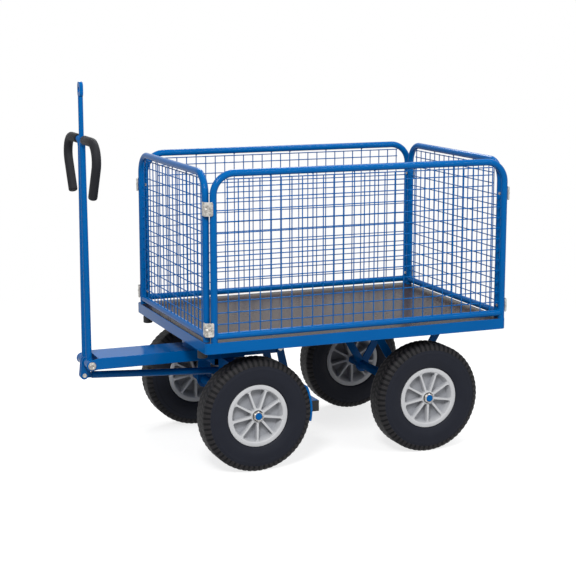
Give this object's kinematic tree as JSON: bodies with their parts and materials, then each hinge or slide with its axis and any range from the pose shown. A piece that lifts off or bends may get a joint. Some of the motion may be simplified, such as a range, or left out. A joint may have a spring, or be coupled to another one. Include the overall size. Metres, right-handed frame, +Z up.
{
  "type": "mesh-sided platform trolley",
  "caption": "Platform trolley on pneumatic tyres with wire-mesh sides round a flat deck, a turntable-steered front axle and an upright braking drawbar with a towing eye",
  "frame": {"origin": "on the floor under the middle of the whole trolley", "axes": "+X forward to the drawbar, +Y to the left, +Z up"},
  "size_m": [1.5572, 0.8348, 1.385],
  "materials": {
    "blue_paint": "gloss powder coat",
    "deck_film": "film-faced plywood",
    "zinc": "zinc plated",
    "bare_steel": "bright",
    "black_rubber": "matt",
    "tyre_rubber": "matt",
    "rim_plastic": "moulded",
    "bush_plastic": "moulded",
    "black_plastic": "moulded",
    "foam": "fine foam"
  },
  "bodies": {
    "bed": {"bed_frame": "blue_paint", "deck_board": "deck_film", "cross_bearers": "blue_paint", "front_panel_tube": "blue_paint", "front_panel_mesh": "blue_paint", "left_panel_tube": "blue_paint", "left_panel_mesh": "blue_paint", "rear_panel_tube": "blue_paint", "rear_panel_mesh": "blue_paint", "right_panel_tube": "blue_paint", "right_panel_mesh": "blue_paint", "corner_clips": "zinc", "clip_screws": "zinc", "frame_buffers": "black_rubber", "rear_axle": "blue_paint", "rear_axle_collars": "zinc", "rear_strut_left": "blue_paint", "rear_strut_right": "blue_paint", "turntable_upper": "blue_paint", "kingpin": "zinc"},
    "bogie": {"turntable_lower": "blue_paint", "turntable_balls": "bare_steel", "drawbar_arm": "blue_paint", "bogie_bolster": "blue_paint", "axle_gussets": "blue_paint", "front_axle": "blue_paint", "front_axle_collars": "zinc", "brake_carriers": "blue_paint", "hanger_pins": "zinc", "hinge_bolt": "zinc", "hinge_washers": "zinc"},
    "drawbar": {"hinge_barrel": "blue_paint", "hinge_bushes": "bush_plastic", "return_spring": "bare_steel", "drawbar_tube_left": "blue_paint", "drawbar_tube_right": "blue_paint", "grip_left": "foam", "grip_right": "foam", "towing_eye": "blue_paint", "brake_lever": "blue_paint", "lever_pin": "zinc"},
    "brake_rod": {"brake_rod": "blue_paint", "rod_pin": "zinc"},
    "brake_beam": {"brake_beam": "blue_paint", "beam_caps": "black_plastic", "brake_hangers": "blue_paint", "brake_shoes": "blue_paint"},
    "wheel_front_left": {"tyre_front_left": "tyre_rubber", "rim_front_left": "rim_plastic", "bush_front_left": "bush_plastic"},
    "wheel_front_right": {"tyre_front_right": "tyre_rubber", "rim_front_right": "rim_plastic", "bush_front_right": "bush_plastic"},
    "wheel_rear_left": {"tyre_rear_left": "tyre_rubber", "rim_rear_left": "rim_plastic", "bush_rear_left": "bush_plastic"},
    "wheel_rear_right": {"tyre_rear_right": "tyre_rubber", "rim_rear_right": "rim_plastic", "bush_rear_right": "bush_plastic"}
  },
  "joints": [
    {"name": "steer", "type": "hinge", "parent": "bed", "child": "bogie", "pos_m": [0.22762, 0, 0.4255], "axis": [0, 0, 1], "range_deg": [-90, 90]},
    {"name": "drawbar_hinge", "type": "hinge", "parent": "bogie", "child": "drawbar", "pos_m": [0.75062, 0, 0.368], "axis": [0, 1, 0], "range_deg": [0, 90], "stiffness_Nm_per_rad": 14, "springref_deg": -34.38},
    {"name": "brake_rod_pin", "type": "hinge", "parent": "drawbar", "child": "brake_rod", "pos_m": [0.76362, 0, 0.32], "axis": [0, 1, 0], "range_deg": [-90, 0]},
    {"name": "beam_pivot", "type": "hinge", "parent": "bogie", "child": "brake_beam", "pos_m": [0.02436, 0, 0.37474], "axis": [0, 1, 0], "range_deg": [0, 41.4]},
    {"name": "spin_front_left", "type": "hinge", "parent": "bogie", "child": "wheel_front_left", "pos_m": [0.22762, 0.343, 0.206], "axis": [0, 1, 0], "continuous": true},
    {"name": "spin_front_right", "type": "hinge", "parent": "bogie", "child": "wheel_front_right", "pos_m": [0.22762, -0.343, 0.206], "axis": [0, 1, 0], "continuous": true},
    {"name": "spin_rear_left", "type": "hinge", "parent": "bed", "child": "wheel_rear_left", "pos_m": [-0.45538, 0.343, 0.206], "axis": [0, 1, 0], "continuous": true},
    {"name": "spin_rear_right", "type": "hinge", "parent": "bed", "child": "wheel_rear_right", "pos_m": [-0.45538, -0.343, 0.206], "axis": [0, 1, 0], "continuous": true}
  ],
  "couplings": [
    {"joint": "brake_rod_pin", "follows": "drawbar_hinge", "ratio": -1},
    {"joint": "beam_pivot", "follows": "drawbar_hinge", "ratio": 0.46}
  ]
}
